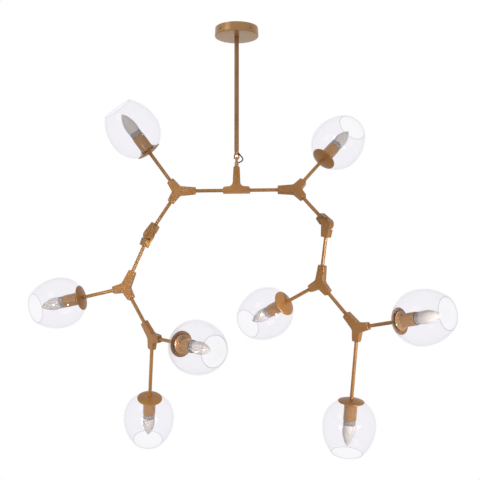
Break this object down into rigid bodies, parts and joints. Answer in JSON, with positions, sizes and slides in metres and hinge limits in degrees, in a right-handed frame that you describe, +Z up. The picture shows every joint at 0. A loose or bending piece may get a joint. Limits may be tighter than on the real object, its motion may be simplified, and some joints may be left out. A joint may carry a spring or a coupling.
{
  "type": "branch chandelier",
  "caption": "Ceiling chandelier: a canopy and rod hold linked eyes and a tee; two jointed tube branches with star hubs and knuckles carry candle bulbs in clear glass bell shades.",
  "frame": {"origin": "on the ceiling plane at the centre of the canopy, the back face of the ceiling plate", "axes": "+Z up, into the ceiling; +X to the right along the tee bar, -Y to the front, the side that the picture shows"},
  "size_m": [1.1881, 0.5407, 1.2173],
  "materials": {
    "gold_paint": "satin",
    "clear_glass": "gloss",
    "bulb": "frosted",
    "lampholder": "matte",
    "cord": "matte",
    "terminal_block": "matte",
    "zinc_plate": "satin"
  },
  "bodies": {
    "ceiling_part": {"ceiling_plate": "zinc_plate", "terminal_block": "terminal_block", "canopy": "gold_paint", "canopy_fasteners": "gold_paint", "down_rod": "gold_paint", "upper_eye": "gold_paint", "supply_cord": "cord"},
    "hanging_eye": {"lower_eye": "gold_paint"},
    "tee": {"tee_hub": "gold_paint", "link_tubes": "gold_paint"},
    "upper_branch_left": {"upper_hub_left": "gold_paint", "upper_tubes_left": "gold_paint", "upper_cap_left": "gold_paint", "upper_sleeve_left": "gold_paint", "upper_lampholder_left": "lampholder", "upper_bulb_left": "bulb", "upper_shade_left": "clear_glass", "knuckle_top_left": "gold_paint", "knuckle_screw_left": "gold_paint"},
    "knuckle_link_left": {"knuckle_bottom_left": "gold_paint", "knuckle_tube_left": "gold_paint"},
    "middle_branch_left": {"middle_hub_left": "gold_paint", "middle_tubes_left": "gold_paint", "middle_cap_left": "gold_paint", "middle_sleeve_left": "gold_paint", "middle_lampholder_left": "lampholder", "middle_bulb_left": "bulb", "middle_shade_left": "clear_glass"},
    "lower_branch_left": {"lower_hub_left": "gold_paint", "lower_tubes_left": "gold_paint", "lower_caps_left": "gold_paint", "lower_sleeves_left": "gold_paint", "lower_lampholders_left": "lampholder", "lower_bulbs_left": "bulb", "lower_shades_left": "clear_glass"},
    "upper_branch_right": {"upper_hub_right": "gold_paint", "upper_tubes_right": "gold_paint", "upper_cap_right": "gold_paint", "upper_sleeve_right": "gold_paint", "upper_lampholder_right": "lampholder", "upper_bulb_right": "bulb", "upper_shade_right": "clear_glass", "knuckle_top_right": "gold_paint", "knuckle_screw_right": "gold_paint"},
    "knuckle_link_right": {"knuckle_bottom_right": "gold_paint", "knuckle_tube_right": "gold_paint"},
    "middle_branch_right": {"middle_hub_right": "gold_paint", "middle_tubes_right": "gold_paint", "middle_cap_right": "gold_paint", "middle_sleeve_right": "gold_paint", "middle_lampholder_right": "lampholder", "middle_bulb_right": "bulb", "middle_shade_right": "clear_glass"},
    "lower_branch_right": {"lower_hub_right": "gold_paint", "lower_tubes_right": "gold_paint", "lower_caps_right": "gold_paint", "lower_sleeves_right": "gold_paint", "lower_lampholders_right": "lampholder", "lower_bulbs_right": "bulb", "lower_shades_right": "clear_glass"}
  },
  "joints": [
    {"name": "fore_and_aft_swing", "type": "hinge", "parent": "ceiling_part", "child": "hanging_eye", "pos_m": [0, 0, -0.3838], "axis": [1, 0, 0], "range_deg": [-12, 12], "deforming": ["supply_cord"]},
    {"name": "stem_turn", "type": "hinge", "parent": "hanging_eye", "child": "tee", "pos_m": [0, 0, -0.407], "axis": [0, 0, 1], "range_deg": [-30, 30]},
    {"name": "upper_turn_left", "type": "hinge", "parent": "tee", "child": "upper_branch_left", "pos_m": [-0.167, 0, -0.474], "axis": [-1, 0, 0], "range_deg": [-20, 20]},
    {"name": "knuckle_bend_left", "type": "hinge", "parent": "upper_branch_left", "child": "knuckle_link_left", "pos_m": [-0.25418, 0.03432, -0.59369], "axis": [-0.6275, -0.739, 0.2452], "range_deg": [-16, 50]},
    {"name": "middle_turn_left", "type": "hinge", "parent": "knuckle_link_left", "child": "middle_branch_left", "pos_m": [-0.32121, 0.04126, -0.7443], "axis": [-0.4062, 0.0421, -0.9128], "range_deg": [-45, 45]},
    {"name": "lower_turn_left", "type": "hinge", "parent": "middle_branch_left", "child": "lower_branch_left", "pos_m": [-0.23851, 0.01618, -0.8872], "axis": [0.4952, -0.1502, -0.8557], "range_deg": [-45, 45]},
    {"name": "upper_turn_right", "type": "hinge", "parent": "tee", "child": "upper_branch_right", "pos_m": [0.167, 0, -0.474], "axis": [1, 0, 0], "range_deg": [-20, 20]},
    {"name": "knuckle_bend_right", "type": "hinge", "parent": "upper_branch_right", "child": "knuckle_link_right", "pos_m": [0.25418, -0.06226, -0.58183], "axis": [0.6542, 0.7502, 0.0958], "range_deg": [-45, 20]},
    {"name": "middle_turn_right", "type": "hinge", "parent": "knuckle_link_right", "child": "middle_branch_right", "pos_m": [0.2332, -0.02365, -0.74087], "axis": [-0.1272, 0.234, -0.9639], "range_deg": [-45, 45]},
    {"name": "lower_turn_right", "type": "hinge", "parent": "middle_branch_right", "child": "lower_branch_right", "pos_m": [0.33181, -0.07465, -0.86563], "axis": [0.5905, -0.3054, -0.7471], "range_deg": [-45, 45]}
  ]
}
